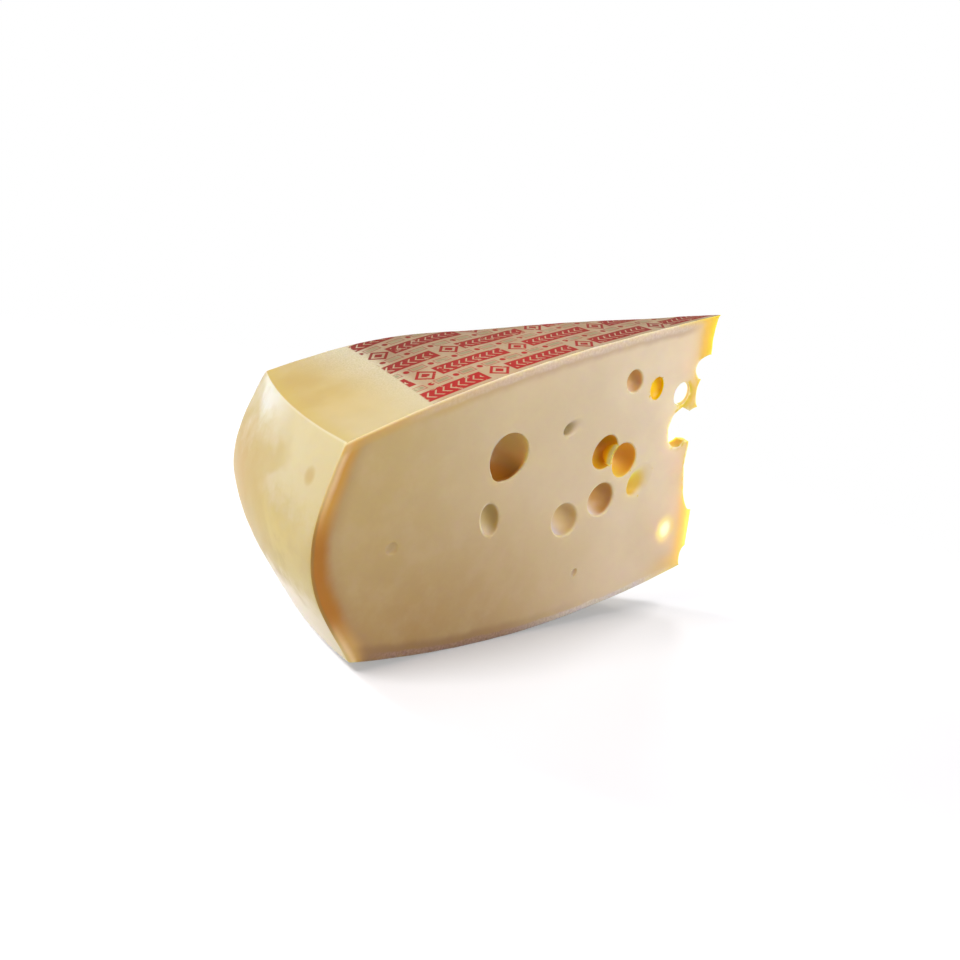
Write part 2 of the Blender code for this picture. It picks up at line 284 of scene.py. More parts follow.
def section(share):
    """Outline of the wedge on one ray: underside outwards, up the rim, top inwards."""
    steps = np.linspace(0, 1, STEPS_ALONG + 1) ** 0.95
    low = ray_points(steps * (LOW_RADIUS - CORNER_ROUNDING), share, -TIP_BOTTOM_SHORT, bottom_height)
    top = ray_points(steps * (RIM_RADIUS - CORNER_ROUNDING), share, TIP_TOP_PAST_AXIS,
                     lambda radius: top_height(radius, share))
    edge = RIM_HEIGHT / 2
    inner = edge - CORNER_ROUNDING
    heights = np.concatenate([[-edge], np.linspace(-inner, inner, STEPS_RIM + 1), [edge]])
    turn = WEDGE_ANGLE * (share - 0.5)
    radii = rim_radius(heights)
    side = np.column_stack([-radii * math.cos(turn), radii * math.sin(turn), heights])
    low_corner = rounding(low[-1], side[0], side[1])
    top_corner = rounding(side[-2], side[-1], top[-1])
    return np.concatenate([low, low_corner, side[1:-1], top_corner, top[::-1]])


def rind_relief(points):
    """Pushes an outline in and out a little, in its own plane, as an uneven rind."""
    tangent = np.gradient(points, axis=0)
    radial = points[len(points) // 2] * (1, 1, 0)
    radial /= np.linalg.norm(radial)
    flat = tangent @ radial
    normal = tangent[:, 2:3] * radial - flat[:, None] * np.array((0, 0, 1))
    normal /= np.linalg.norm(normal, axis=1)[:, None]
    push = np.zeros(len(points))
    for amount, pace in (RIND_SWELL, RIND_RIPPLE):
        push += [amount * noise.noise(Vector(p) * pace) for p in points]
    push[[0, -1]] = 0
    return points + normal * push[:, None]


def skin_grid():
    """Vertices of the rind: one row of points for each ray, tips shared."""
    rows = [rind_relief(section(j / STEPS_ROUND)) for j in range(STEPS_ROUND + 1)]
    return np.array(rows)


def face_offset(reach, height, side):
    """How far the far cut face leaves its plane, as the tip leans across the axis."""
    if side < 0:
        return 0 * reach
    lowest = bottom_height(0.0)
    highest = top_height(0.0, 1.0)
    share = (height - lowest) / (highest - lowest)
    past = -TIP_BOTTOM_SHORT + (TIP_TOP_PAST_AXIS + TIP_BOTTOM_SHORT) * share
    across = math.cos(HALF_ANGLE) * -math.sin(HALF_ANGLE) * 2
    return past * across * (1 - reach / RIM_RADIUS)


def cut_face_points(outline, side):
    """Even points inside a cut face's outline, in its plane, clear of the border."""
    low_u, low_v = outline.min(axis=0)
    high_u, high_v = outline.max(axis=0)
    rows = np.arange(low_v, high_v, FACE_STEP * 0.866)
    points = []
    for k, v in enumerate(rows):
        u = np.arange(low_u + (k % 2) * FACE_STEP / 2, high_u, FACE_STEP)
        points.append(np.column_stack([u, np.full(len(u), v)]))
    points = np.concatenate(points)
    u, v = points.T
    share = 0.0 if side < 0 else 1.0
    radius = np.abs(u)
    margin = FACE_STEP * 0.6
    keep = v > bottom_height(np.minimum(radius, LOW_RADIUS)) + margin
    keep &= v < top_height(np.minimum(radius, RIM_RADIUS), share) - margin
    beyond = np.where(np.abs(v) < RIM_HEIGHT / 2, rim_radius(v), 0)
    beyond = np.where(v >= RIM_HEIGHT / 2, RIM_RADIUS, np.where(v <= -RIM_HEIGHT / 2, LOW_RADIUS, beyond))
    keep &= u < beyond - margin
    keep &= u > TIP_CLEARANCE + margin
    return points[keep]


def cut_face(outline_points, side):
    """Triangles of a cut face. Returns its inner points and its faces by outline index."""
    along, up, inward = face_frame(side)
    outline = np.column_stack([outline_points @ along, outline_points[:, 2]])
    inner = cut_face_points(outline, side)
    count = len(outline)
    flat = np.concatenate([outline, inner])
    _, _, faces, origin, _, _ = delaunay_2d_cdt(
        [Vector(p) for p in flat], [], [list(range(count))], 1, 1e-7)
    index = [min(item) for item in origin]
    reach, height = inner.T
    offset = face_offset(reach, height, side)
    solid = reach[:, None] * along + height[:, None] * up - offset[:, None] * inward
    return solid, [[index[i] for i in face] for face in faces]


def link(name, data):
    """New object in the scene."""
    obj = bpy.data.objects.new(name, data)
    bpy.context.scene.collection.objects.link(obj)
    return obj


def add_block(materials):
    """The uncut block: the rim and underside in slot 0, cut faces in 1, the top in 2."""
    grid = skin_grid()
    rows, columns = grid.shape[:2]
    tip_low, tip_high = grid[0, 0], grid[0, -1]
    vertices = [tip_low, tip_high]
    index = np.zeros((rows, columns), int)
    index[:, -1] = 1
    for j in range(rows):
        index[j, 1:-1] = np.arange(len(vertices), len(vertices) + columns - 2)
        vertices.extend(grid[j, 1:-1])
    faces = []
    slots = []
    top_start = columns - 1 - STEPS_ALONG - STEPS_ROUNDING // 2
    for j in range(rows - 1):
        for i in range(columns - 1):
            corners = [index[j, i], index[j, i + 1], index[j + 1, i + 1], index[j + 1, i]]
            faces.append(list(dict.fromkeys(int(c) for c in corners)))
            slots.append(2 if i >= top_start else 0)
    edge_steps = int(np.linalg.norm(tip_high - tip_low) / FACE_STEP)
    edge_shares = np.arange(1, edge_steps) / edge_steps
    edge = [tip_high + (tip_low - tip_high) * share for share in edge_shares]
    edge_index = list(range(len(vertices), len(vertices) + len(edge)))
    vertices.extend(edge)
    for row, side in ((0, -1), (rows - 1, 1)):
        loop = [int(c) for c in index[row]] + edge_index
        loop_points = np.array([vertices[c] for c in loop])
        inner, triangles = cut_face(loop_points, side)
        start = len(vertices)
        vertices.extend(inner)
        lookup = loop + list(range(start, start + len(inner)))
        for triangle in triangles:
            faces.append([lookup[c] for c in triangle])
            slots.append(1)
    mesh = bpy.data.meshes.new("wedge")
    mesh.from_pydata([tuple(v) for v in vertices], [], faces)
    mesh.polygons.foreach_set("material_index", slots)
    obj = link("wedge_visual", mesh)
    for mat in materials:
        mesh.materials.append(mat)
    bm = bmesh.new()
    bm.from_mesh(mesh)
    bmesh.ops.recalc_face_normals(bm, faces=bm.faces)
    weight = bm.edges.layers.float.new("bevel_weight_edge")
    for item in bm.edges:
        slots_here = {face.material_index for face in item.link_faces}
        if 1 in slots_here and len(slots_here) == 2:
            middle = (item.verts[0].co + item.verts[1].co) / 2
            item[weight] = min(1, 8 * middle.to_2d().length)
    bm.to_mesh(mesh)
    bm.free()
    bevel = obj.modifiers.new("edges", "BEVEL")
    bevel.limit_method = "WEIGHT"
    bevel.width = EDGE_BEVEL
    bevel.segments = 2
    bevel.use_clamp_overlap = False
    return obj


def link_cutter(name, bm, collection, materials):
    """Makes a hidden cutter whose faces are paste."""
    bmesh.ops.recalc_face_normals(bm, faces=bm.faces)
    for face in bm.faces:
        face.material_index = 1
    mesh = bpy.data.meshes.new(name)
    bm.to_mesh(mesh)
    bm.free()
    for mat in materials:
        mesh.materials.append(mat)
    cutter = bpy.data.objects.new(name, mesh)
    cutter.hide_render = True
    cutter.display_type = "WIRE"
    collection.objects.link(cutter)
    return cutter


def ball_mesh(place, axes, sizes, rings):
    """Ellipsoid with the given axes."""
    bm = bmesh.new()
    bmesh.ops.create_uvsphere(bm, u_segments=2 * rings, v_segments=rings, radius=1)
    turn = Matrix([Vector(axis).normalized() for axis in axes]).transposed().to_4x4()
    scale = Matrix.Diagonal((*sizes, 1))
    bmesh.ops.transform(bm, matrix=Matrix.Translation(place) @ turn @ scale, verts=bm.verts)
    return bm


def eye_mesh(side, reach, height, half_long, half_high, roll, depth, fullness, slide, seed):
    """Round eye with a soft lip: rings from outside the face down to its floor."""
    along, up, inward = face_frame(side)
    semi = depth / (1 + fullness)
    lip_width = min(0.0009, 0.08 * half_high)
    lip_depth = 1.5 * lip_width
    outside = 0.0012
    sectors = 56 if half_long > 0.012 else 40
    turn = math.radians(roll)
    angles = np.arange(sectors) / sectors * 2 * math.pi
    wobble = 1 + 0.025 * np.sin(2 * angles + seed) + 0.018 * np.sin(3 * angles + 2.1 * seed)
    depths = [-outside, 0.0]
    start = -math.asin(fullness)
    for k in range(1, EYE_RINGS):
        if slide:
            depths.append(depth * (k / EYE_RINGS) ** 1.4)
        else:
            swing = start + (math.pi / 2 - start) * k / EYE_RINGS
            depths.append(semi * (fullness + math.sin(swing)))
    bm = bmesh.new()
    loops = []
    for d in depths:
        inside = max(d, 0)
        if slide:
            spread = 1 - (inside / depth) ** 0.75
        else:
            spread = math.sqrt(max(1 - ((inside - fullness * semi) / semi) ** 2, 0))
            spread /= math.sqrt(1 - fullness ** 2)
        lip = lip_width * max(1 - inside / lip_depth, 0) ** 2
        shape = 1 + (wobble - 1) * (1 - inside / depth)
        u = (half_long * spread + lip) * np.cos(angles) * shape + slide * half_long * (1 - spread)
        v = (half_high * spread + lip) * np.sin(angles) * shape
        long_part = u * math.cos(turn) - v * math.sin(turn) + reach
        high_part = u * math.sin(turn) + v * math.cos(turn) + height
        points = long_part[:, None] * along + high_part[:, None] * up + d * inward
        loops.append([bm.verts.new(p) for p in points])
    deepest = slide * half_long
    floor_reach = reach + deepest * math.cos(turn)
    floor_height = height + deepest * math.sin(turn)
    floor_vert = bm.verts.new(floor_reach * along + floor_height * up + depth * inward)
    for a, b in zip(loops, loops[1:]):
        for i in range(sectors):
            j = (i + 1) % sectors
            bm.faces.new((a[i], a[j], b[j], b[i]))
    for i in range(sectors):
        bm.faces.new((loops[-1][i], loops[-1][(i + 1) % sectors], floor_vert))
    bm.faces.new(loops[0])
    return bm


def slanting_mesh(side, reach, height, half_long, half_high, roll, depth, slant):
    """Hole that runs through the cheese at a slant to its cut face."""
    along, up, inward = (Vector(axis) for axis in face_frame(side))
    long_axis, high_axis = turned(along, up, roll)
    deep_axis = inward + along * math.tan(math.radians(slant)) - up * THROUGH_DROP
    bm = ball_mesh((0, 0, 0), (long_axis, high_axis, inward), (half_long, half_high, depth), 26)
    place = along * reach + up * height
    for vert in bm.verts:
        deep = vert.co.dot(inward)
        vert.co += (deep_axis - inward) * deep + place
    return bm


def add_eyes(eyes, side, collection, materials):
    """Cutters for the eyes of one cut face."""
    cutters = {}
    for seed, (name, values) in enumerate(eyes.items()):
        *size, lean = values
        if lean < 0:
            reach, height, half_long, half_high, roll, depth, _ = size
            bm = slanting_mesh(side, reach, height, half_long, half_high, roll, depth, lean)
        else:
            bm = eye_mesh(side, *size, lean, seed)
        label = f"eye_{'near' if side < 0 else 'far'}_{name}"
        cutters[name] = link_cutter(label, bm, collection, materials)
    return cutters


def cut_out(obj, **settings):
    """Cuts one operand out of an object."""
    modifier = obj.modifiers.new("cut", "BOOLEAN")
    modifier.operation = "DIFFERENCE"
    modifier.solver = "EXACT"
    for name, value in settings.items():
        setattr(modifier, name, value)
    apply_modifiers(obj)


def keep_septum(pair_left, values, materials):
    """Takes the other eye's thick wall out of the left one, so that a wall stays."""
    reach, height, half_long, half_high, roll, _, fullness, _ = values
    along, up, inward = (Vector(axis) for axis in face_frame(-1))
    swell, semi = ball_form(values)
    long_axis, high_axis = turned(along, up, roll)
    sizes = (half_long / swell + SEPTUM, half_high / swell + SEPTUM, semi + SEPTUM)
    place = along * reach + up * height + inward * fullness * semi
    wall_mesh = ball_mesh(place, (long_axis, high_axis, inward), sizes, 24)
    wall = link_cutter("septum", wall_mesh, bpy.context.scene.collection, materials)
    cut_out(pair_left, object=wall)
    bpy.data.objects.remove(wall)


def add_bites(collection, materials):
    """Cutters for the crumbled thin edge; they run across both cut faces."""
    amount, pace = BITE_ROUGHNESS
    for name, (reach, height, half_long, half_high) in TIP_BITES.items():
        axes = ((-1, 0, 0), (0, 0, 1), (0, 1, 0))
        bm = ball_mesh((-reach, 0, height), axes, (half_long, half_high, BITE_HALF_DEPTH), 26)
        for vert in bm.verts:
            vert.co += amount * noise.noise_vector(vert.co * pace)
        link_cutter(f"bite_{name}", bm, collection, materials)


def apply_modifiers(obj):
    """Replaces the object's mesh by the evaluated one."""
    depsgraph = bpy.context.evaluated_depsgraph_get()
    result = bpy.data.meshes.new_from_object(obj.evaluated_get(depsgraph))
    obj.modifiers.clear()
    obj.data = result


def cut_eyes(obj, materials):
    """Cuts all eyes and bites out of the block."""
    cutters = bpy.data.collections.new("cutters")
    bpy.context.scene.collection.children.link(cutters)
    near = add_eyes(NEAR_EYES, -1, cutters, materials)
    add_eyes(FAR_EYES, 1, cutters, materials)
    keep_septum(near["pair_left"], NEAR_EYES["pair_right"], materials)
    add_bites(cutters, materials)
    cut_out(obj, operand_type="COLLECTION", collection=cutters)
    for cutter in list(cutters.objects):
        bpy.data.objects.remove(cutter)
    bpy.data.collections.remove(cutters)


def smooth(value, low, high):
    """Eased step from 0 at low to 1 at high."""
    share = np.clip((value - low) / (high - low), 0, 1)
    return share * share * (3 - 2 * share)


def paint_eye_shade_and_glow(points, side, eyes, tints):
    """Colour and strength of the painted shade and glow inside the eyes of one cut face."""
    along, _, inward = face_frame(side)
    reach_all, gap, height_all = points @ along, points @ inward, points[:, 2]
    color = np.ones((len(points), 3))
    strength = np.zeros(len(points))
    for name, (reach, height, half_long, half_high, roll, depth, fullness, lean) in eyes.items():
        tint, painted_side_color, direction, amount, fade = tints.get(name, tints["other"])
        slant = gap * math.tan(math.radians(min(lean, 0)))
        a = reach_all - reach - slant
        b = height_all - height + gap * THROUGH_DROP * (lean < 0)
        long_part, high_part = turned(a, b, roll)
        from_middle = np.hypot(long_part / half_long, high_part / half_high)
        semi = depth / (1 + fullness)
        spread = np.sqrt(np.maximum(1 - ((gap - fullness * semi) / semi) ** 2, 0) / (1 - fullness ** 2))
        inside = (gap > 0.0001) & (gap < 1.05 * depth)
        inside &= from_middle < np.where(lean > 0, 1.1, 1.10 * spread + 0.12)
        here = amount * smooth(gap, 0.0001, fade)
        wins = inside & (here > strength)
        aim = math.radians(direction)
        across = (a * math.cos(aim) + b * math.sin(aim)) / half_long
        other = smooth(across, -0.2, 0.9)[:, None]
        mixed = np.array(linear(*tint)) * (1 - other) + np.array(linear(*painted_side_color)) * other
        color[wins] = mixed[wins]
        strength[wins] = here[wins]
    return color, strength


def septum_glow(points):
    """How strongly the wall between the pair of eyes glows, seen from the left eye."""
    values = NEAR_EYES["pair_right"]
    reach, height, half_long, half_high, roll, _, fullness, _ = values
    along, _, inward = face_frame(-1)
    swell, semi = ball_form(values)
    gap = points @ inward
    long_part, high_part = turned(points @ along - reach, points[:, 2] - height, roll)
    long_part /= half_long / swell + SEPTUM
    high_part /= half_high / swell + SEPTUM
    deep_part = (gap - fullness * semi) / (semi + SEPTUM)
    distance = np.sqrt(long_part ** 2 + high_part ** 2 + deep_part ** 2)
    on_wall = smooth(np.abs(distance - 1), 0.05, 0.02) * (gap > 0.0002)
    return on_wall * smooth(gap, 0.0085, 0.0005)


def thinness(mesh, points):
    """How readily light comes through the paste at each point, from 0 to 1."""
    tree = BVHTree.FromPolygons([tuple(p) for p in points], [tuple(p.vertices) for p in mesh.polygons])
    result = np.zeros(len(points))
    for i, vert in enumerate(mesh.vertices):
        if vert.co.to_2d().length > THIN_REACH:
            continue
        inward = -vert.normal
        side_a = inward.orthogonal().normalized()
        side_b = inward.cross(side_a)
        start = vert.co + inward * 0.0004
        total = 0
        for k in range(THIN_RAYS):
            turn = 2 * math.pi * k / THIN_RAYS
            tilt = 0.15 if k % 2 else 0.75
            aim = inward + (side_a * math.cos(turn) + side_b * math.sin(turn)) * tilt
            distance = tree.ray_cast(start, aim.normalized(), THIN_FARTHEST)[3]
            total += math.exp(-(distance or THIN_FARTHEST) / THIN_FADE)
        result[i] = total / THIN_RAYS
    return result


def store_places(mesh):
    """Stores each point's place in the wheel, for the materials."""
    count = len(mesh.vertices)
    flat = np.empty(count * 3)
    mesh.vertices.foreach_get("co", flat)
    points = flat.reshape(-1, 3)
    radius = np.hypot(points[:, 0], points[:, 1])
    height = points[:, 2]
    share = np.clip(np.arctan2(points[:, 1], -points[:, 0]) / WEDGE_ANGLE + 0.5, 0, 1)
    near_along, _, near_inward = face_frame(-1)
    far_along, _, far_inward = face_frame(1)
    near_gap = points @ near_inward
    far_gap = points @ far_inward + face_offset(points @ far_along, height, 1)
    inside_radius = np.minimum(radius, RIM_RADIUS)
    rim_gap = rim_radius(height) - radius
    top_gap = top_height(inside_radius, share) - height
    bottom_gap = height - bottom_height(inside_radius)
    thin = thinness(mesh, points)
    crumbled = (near_gap > 0.0005) & (far_gap > 0.0005) & (radius < CRUMBLE_REACH)
    thin = np.where(crumbled, np.maximum(thin, CRUMBLE_LIGHT), thin)
    beyond_tip = np.maximum(thin - 0.25, 0) / 0.75 * (1 - 0.85 * smooth(near_gap, 0.002, 0.008))
    thin = np.where(radius > CRUMBLE_REACH, beyond_tip, thin)
    reach, level = NEAR_EYES["deep_high"][:2]
    in_pane = np.hypot(points @ near_along - reach, height - level) < 0.011
    thin = np.where(in_pane & (near_gap > 0.0003) & (near_gap < 0.010), 0, thin)
    # Painted shade and glow inside the eyes
    near_color, near_strength = paint_eye_shade_and_glow(points, -1, NEAR_EYES, EYE_SHADE_AND_GLOW)
    far_color, far_strength = paint_eye_shade_and_glow(points, 1, FAR_EYES, EYE_SHADE_AND_GLOW)
    far_wins = far_strength > near_strength
    eye_shade_glow_color = np.where(far_wins[:, None], far_color, near_color)
    eye_shade_glow_strength = np.maximum(far_strength, near_strength)
    values = {
        "place": np.column_stack([points @ near_along, near_gap, height]),
        "rind_gap": np.column_stack([rim_gap, top_gap, bottom_gap]),
        "light": np.column_stack([thin, eye_shade_glow_strength, septum_glow(points)]),
        "eye_shade_glow_color": eye_shade_glow_color,
    }
    for name, data in values.items():
        attribute = mesh.attributes.new(name, "FLOAT_VECTOR", "POINT")
        attribute.data.foreach_set("vector", data.astype(np.float32).ravel())


def rest_on_floor(obj):
    """Tilts the wedge back on its dome, presses the flat spot and sets it on the solid."""
    lowest_at = np.linspace(0.01, RIM_RADIUS, 4000)
    sunk = bottom_height(lowest_at) * math.cos(TILT) - lowest_at * math.sin(TILT)
    rise = -sunk.min() - FLAT_SPOT_DEPTH
    heights = np.linspace(-RIM_HEIGHT / 2, RIM_HEIGHT / 2, 2001)
    rim_side = -rim_radius(heights) * math.cos(TILT) - heights * math.sin(TILT)
    low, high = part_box("cheese_wedge")
    shift = low[0] - rim_side.min()
    move = Matrix.Translation((shift, 0, rise)) @ Matrix.Rotation(-TILT, 4, "Y")
    obj.data.transform(move)
    bm = bmesh.new()
    bm.from_mesh(obj.data)
    geometry = bm.verts[:] + bm.edges[:] + bm.faces[:]
    sliced = bmesh.ops.bisect_plane(
        bm, geom=geometry, plane_co=(0, 0, 0), plane_no=(0, 0, 1), clear_inner=True)
    edges = [item for item in sliced["geom_cut"] if isinstance(item, bmesh.types.BMEdge)]
    bmesh.ops.contextual_create(bm, geom=edges)
    bm.to_mesh(obj.data)
    bm.free()


class Graph:
    """Short names for building a node material. Colours are display values of 0 to 255."""

    def __init__(self, name):
        self.material = bpy.data.materials.new(name)
        self.material.use_nodes = True
        self.nodes = self.material.node_tree.nodes
        self.links = self.material.node_tree.links
        self.shader = self.nodes["Principled BSDF"]

    def node(self, kind, **settings):
        item = self.nodes.new(kind)
        for key, value in settings.items():
            setattr(item, key, value)
        return item

    def put(self, socket, value):
        if isinstance(value, bpy.types.NodeSocket):
            self.links.new(value, socket)
        elif isinstance(value, tuple) and len(value) == 3 and socket.type == "RGBA":
            socket.default_value = (*linear(*value), 1)
        else:
            socket.default_value = value

    def fill(self, item, **values):
        for name, value in values.items():
            self.put(item.inputs[name], value)

    def math(self, operation, a, b=0.0):
        item = self.node("ShaderNodeMath", operation=operation)
        self.put(item.inputs[0], a)
        self.put(item.inputs[1], b)
        return item.outputs[0]

    def plus(self, a, b):
        return self.math("ADD", a, b)

    def minus(self, a, b):
        return self.math("SUBTRACT", a, b)

    def times(self, a, b):
        return self.math("MULTIPLY", a, b)

    def attribute(self, name):
        item = self.node("ShaderNodeAttribute", attribute_name=name)
        split = self.node("ShaderNodeSeparateXYZ")
        self.links.new(item.outputs["Vector"], split.inputs[0])
        return item.outputs["Vector"], split.outputs

    def noise(self, vector, scale, detail=2.0, roughness=0.5, distortion=0.0):
        item = self.node("ShaderNodeTexNoise")
        self.fill(item, Vector=vector, Scale=scale, Detail=detail, Roughness=roughness)
        self.put(item.inputs["Distortion"], distortion)
        return item.outputs["Fac"]

    def remap(self, value, low, high, to_low=0.0, to_high=1.0):
        item = self.node("ShaderNodeMapRange", interpolation_type="SMOOTHSTEP")
        for socket, number in zip(item.inputs, (value, low, high, to_low, to_high)):
            self.put(socket, number)
        return item.outputs[0]

    def mix(self, factor, a, b):
        item = self.node("ShaderNodeMix", data_type="RGBA")
        self.fill(item, Factor=factor, A=a, B=b)
        return item.outputs["Result"]

    def tint(self, color, mask, amount, *paint):
        """Lays a paint over a colour, where the mask is."""
        return self.mix(self.times(mask, amount), color, paint)

    def bump(self, height, strength, distance, normal=None):
        item = self.node("ShaderNodeBump")
        self.fill(item, Height=height, Strength=strength, Distance=distance)
        if normal is not None:
            self.links.new(normal, item.inputs["Normal"])
        return item.outputs["Normal"]


def painted_lip_highlights(g, x, near_gap, height):
    """Painted highlight where the lips of the eyes in the near cut face would catch the light, on their
    rim side.
    """
    strongest = 0.0
    for name, strength in LIP_HIGHLIGHTS.items():
        reach, level, half_long, half_high, roll = NEAR_EYES[name][:5]
        cosine = math.cos(math.radians(roll))
        sine = math.sin(math.radians(roll))
        a = g.minus(x, reach)
        b = g.minus(height, level)
        long_part = g.plus(g.times(a, cosine), g.times(b, sine))
        high_part = g.minus(g.times(b, cosine), g.times(a, sine))
        long_part = g.math("POWER", g.math("DIVIDE", long_part, half_long), 2.0)
        high_part = g.math("POWER", g.math("DIVIDE", high_part, half_high), 2.0)
        outside = g.minus(g.math("SQRT", g.plus(long_part, high_part)), 1.0)
        ring = g.remap(outside, LIP_WIDTH / half_high, 0.3 * LIP_WIDTH / half_high)
        rim_side = g.remap(g.math("DIVIDE", a, half_long), 0.0, 0.8)
        here = g.times(g.times(ring, rim_side), strength)
        strongest = g.math("MAXIMUM", strongest, here)
    return g.times(strongest, g.remap(near_gap, 0.0012, 0.0004))


def paste_material():
    """Ivory paste that light goes through, amber under the rind."""
    g = Graph("paste")
    place, (x, near_gap, height) = g.attribute("place")
    _, (rim_gap, top_gap, bottom_gap) = g.attribute("rind_gap")
    _, (thin, eye_shade_glow_strength, septum) = g.attribute("light")
    eye_shade_glow_color, _ = g.attribute("eye_shade_glow_color")
    broad = g.noise(place, 11, 3)
    cloud = g.noise(place, 34, 4, 0.6)
    grain = g.noise(place, 420, 3, 0.7)
    wander = g.times(g.minus(cloud, 0.5), 0.006)

    def gap(value, amount=1.0):
        return g.plus(value, g.times(wander, amount))

    # Paler and pinker towards the thin edge: partly the paste's own tone, partly painted light, as the
    # thinning wedge is lit through
    toward_tip = g.remap(x, 0.36, 0.06)
    color = g.mix(toward_tip, (209, 182, 124), (236, 214, 181))
    # Painted light: paler by the thin edge, low down and high up, as if lit through from behind
    painted_light_low_tip = g.times(g.remap(x, 0.120, 0.020), g.remap(height, -0.130, -0.060))
    color = g.tint(color, painted_light_low_tip, 0.70, 250, 226, 194)
    painted_light_high_tip = g.times(g.remap(x, 0.110, 0.025), g.remap(height, -0.020, 0.060))
    color = g.tint(color, painted_light_high_tip, 0.80, 252, 232, 198)
    # Paler higher up on the rim side
    paler_higher = g.times(g.remap(height, -0.080, 0.030), g.remap(x, 0.36, 0.26))
    color = g.tint(color, paler_higher, 0.28, 244, 229, 204)
    # Painted shade: darker towards the bottom, and most in the lower left by the rim
    color = g.mix(g.remap(height, -0.030, -0.110, 0, 0.25), color, (204, 170, 128))
    low_left = g.times(g.remap(height, 0.09, -0.11), g.remap(x, 0.10, 0.34))
    color = g.tint(color, low_left, 0.70, 164, 121, 62)
    color = g.tint(color, g.remap(broad, 0.35, 0.65), 0.22, 196, 170, 122)
    color = g.tint(color, g.remap(cloud, 0.4, 0.7), 0.10, 236, 214, 184)

    # Under the rim: amber that fades into the paste, tan at the corners, dull at the very edge
    color = g.tint(color, g.remap(gap(rim_gap), 0.010, 0.026, 1, 0), 0.45, 172, 132, 92)
    amber = g.mix(g.remap(height, 0.010, 0.045), (184, 118, 12), (216, 162, 70))
    amber = g.mix(g.remap(height, -0.030, -0.066), amber, (210, 166, 96))
    color = g.mix(g.times(g.remap(gap(rim_gap), 0.0070, 0.0178, 1, 0), 0.95), color, amber)
    by_corners = g.remap(g.math("ABSOLUTE", g.plus(height, 0.008)), 0.030, 0.062)
    tan_edge = g.times(g.remap(gap(rim_gap, 0.7), 0.0035, 0.0080, 1, 0), by_corners)
    color = g.tint(color, tan_edge, 0.85, 234, 206, 156)
    dull = g.mix(by_corners, (150, 122, 62), (206, 180, 128))
    color = g.mix(g.times(g.remap(gap(rim_gap, 0.3), 0.0010, 0.0034, 1, 0), 0.75), color, dull)

    # Under the top: amber by the rim, then a pale crust with a brown line under it, and a painted
    # highlight along the very edge
    by_rim = g.remap(x, 0.300, 0.350)
    amber_top = g.times(g.remap(gap(top_gap, 0.5), 0.0050, 0.0090, 1, 0), by_rim)
    color = g.tint(color, amber_top, 0.75, 212, 176, 104)
    away = g.times(g.minus(1.0, by_rim), g.remap(x, 0.018, 0.045))
    brown_line = g.times(g.remap(gap(top_gap), 0.0070, 0.0130, 1, 0), away)
    line_color = g.mix(g.remap(x, 0.200, 0.320), (198, 164, 130), (206, 172, 108))
    color = g.mix(g.times(brown_line, 0.60), color, line_color)
    crust = g.times(g.remap(gap(top_gap), 0.0050, 0.0080, 1, 0), away)
    crust = g.times(crust, g.remap(x, 0.190, 0.300, 1, 0.45))
    pale = g.mix(g.remap(grain, 0.30, 0.70), (214, 192, 170), (232, 215, 198))
    color = g.mix(g.times(crust, 0.85), color, pale)
    # Painted highlight along the very top edge of the cut face
    color = g.mix(g.remap(gap(top_gap, 0.2), 0.0006, 0.0024, 0.5, 0), color, (238, 224, 204))

    # Over the bottom: a brown band by the rim and a pinkish grey fibrous edge
    by_rim_low = g.times(g.remap(x, 0.12, 0.34), g.remap(gap(rim_gap), 0.004, 0.018))
    brown_low = g.times(g.remap(gap(bottom_gap), 0.0080, 0.0150, 1, 0), by_rim_low)
    color = g.tint(color, brown_low, 0.85, 158, 120, 78)
    by_tip_low = g.remap(x, 0.260, 0.130)
    fringe_dark = g.mix(by_tip_low, (150, 112, 92), (214, 193, 181))
    fringe_pale = g.mix(by_tip_low, (186, 150, 130), (242, 229, 219))
    fringe = g.mix(g.remap(grain, 0.30, 0.70), fringe_dark, fringe_pale)
    fringe_on = g.times(g.remap(gap(bottom_gap), 0.0045, 0.0068, 1, 0), g.remap(x, 0.375, 0.345))
    color = g.mix(g.times(fringe_on, 0.80), color, fringe)

    # Painted shade and glow in the eyes, the orange foot of the thin edge, and painted yellow glow where
    # light comes through
    foot = g.times(g.remap(gap(bottom_gap), 0.008, 0.030, 1, 0), g.remap(x, 0.080, 0.015))
    color = g.tint(color, foot, 0.75, 232, 188, 104)
    # Painted highlight on the rim side of the eyes' lips; the same mask raises the lips a little in the
    # bump below
    lip = painted_lip_highlights(g, x, near_gap, height)
    color = g.mix(lip, color, (252, 239, 208))
    # Painted shade and painted glow inside the eyes
    color = g.mix(eye_shade_glow_strength, color, eye_shade_glow_color)
    low = g.remap(height, -0.040, -0.060)
    low_glow = g.times(low, g.remap(x, 0.018, 0.034))
    soft_yellow = g.mix(low, (230, 198, 84), (242, 210, 120))
    soft_yellow = g.mix(low_glow, soft_yellow, (246, 226, 166))
    color = g.mix(g.remap(thin, 0.05, 0.42), color, soft_yellow)
    bright_yellow = g.mix(low, (214, 188, 44), (230, 204, 94))
    bright_yellow = g.mix(low_glow, bright_yellow, (255, 250, 230))
    color = g.mix(g.remap(thin, 0.38, 0.78), color, bright_yellow)
    # Painted glow on the thin wall between the pair of eyes
    color = g.mix(g.remap(septum, 0.0, 0.35), color, (250, 214, 70))
    color = g.mix(g.remap(septum, 0.25, 0.85), color, (255, 250, 214))

